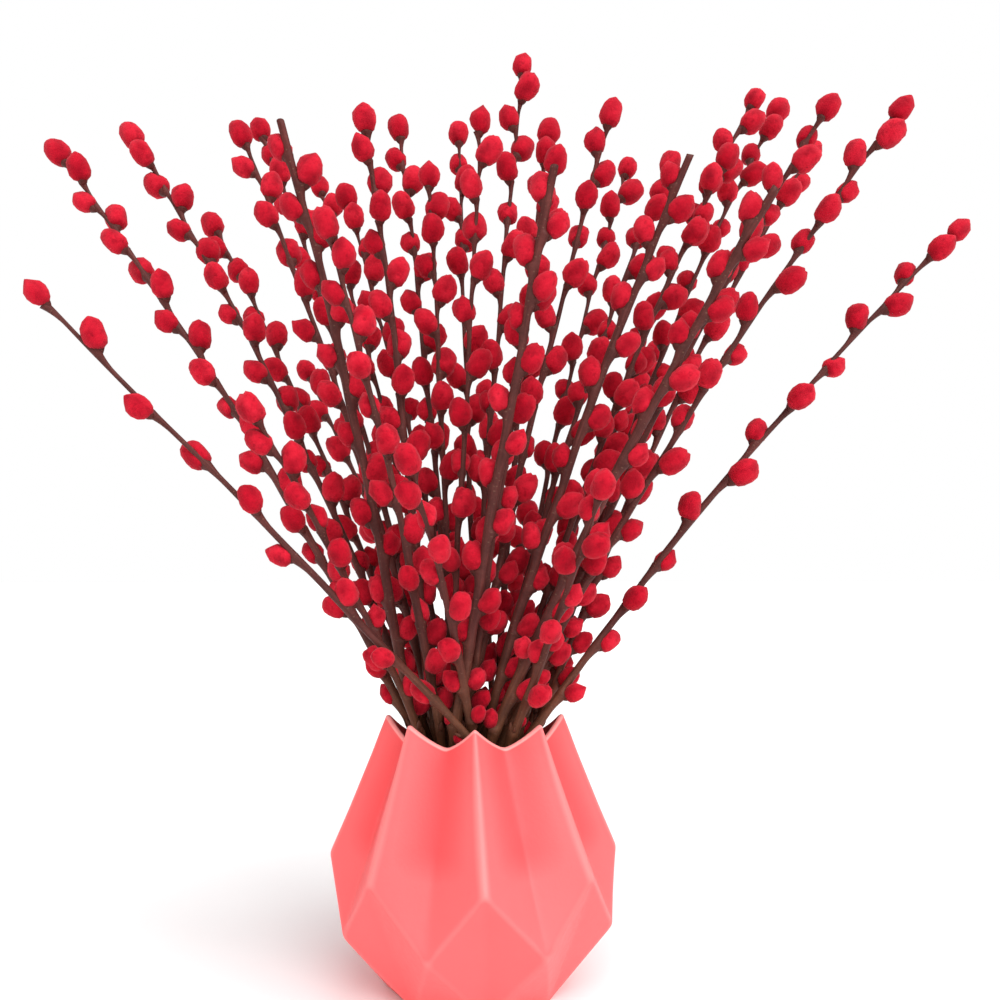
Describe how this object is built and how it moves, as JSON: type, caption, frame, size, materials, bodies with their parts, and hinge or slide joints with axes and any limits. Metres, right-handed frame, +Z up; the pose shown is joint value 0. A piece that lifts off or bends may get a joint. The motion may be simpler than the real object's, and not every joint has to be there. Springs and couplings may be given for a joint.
{
  "type": "bunch of willow branches in a vase",
  "caption": "Dyed pussy-willow branches with round velvety catkins, spread like a fan in a folded ceramic vase.",
  "frame": {"origin": "middle of the vase's flat foot", "axes": "+Z up along the vase, the front of the bunch faces -Y, +X is to the right seen from the front"},
  "size_m": [0.4849, 0.2452, 0.4901],
  "materials": {
    "glaze": "satin coral pink glaze, a little lighter along the folds",
    "bark": "dark red-brown willow bark, olive towards the cut ends",
    "catkin": "soft red dyed catkin fur",
    "cut_wood": "pale cut end of a twig"
  },
  "bodies": {
    "root": {"vase": "glaze", "branch_01": "bark", "branch_02": "bark", "branch_03": "bark", "branch_04": "bark", "branch_05": "bark", "branch_06": "bark", "branch_07": "bark", "branch_08": "bark", "branch_09": "bark", "branch_10": "bark", "branch_11": "bark", "branch_12": "bark", "branch_13": "bark", "branch_14": "bark", "branch_15": "bark", "branch_16": "bark", "branch_17": "bark", "branch_18": "bark", "branch_19": "bark", "branch_20": "bark", "branch_21": "bark", "branch_22": "bark", "branch_23": "bark", "branch_24": "bark", "branch_25": "bark", "branch_26": "bark", "branch_27": "bark", "branch_28": "bark", "branch_29": "bark", "branch_30": "bark", "branch_31": "bark", "branch_32": "bark", "branch_33": "bark", "branch_34": "bark", "branch_35": "bark", "branch_36": "bark", "branch_37": "bark", "branch_38": "bark", "branch_39": "bark", "branch_40": "bark", "branch_41": "bark"}
  },
  "joints": []
}
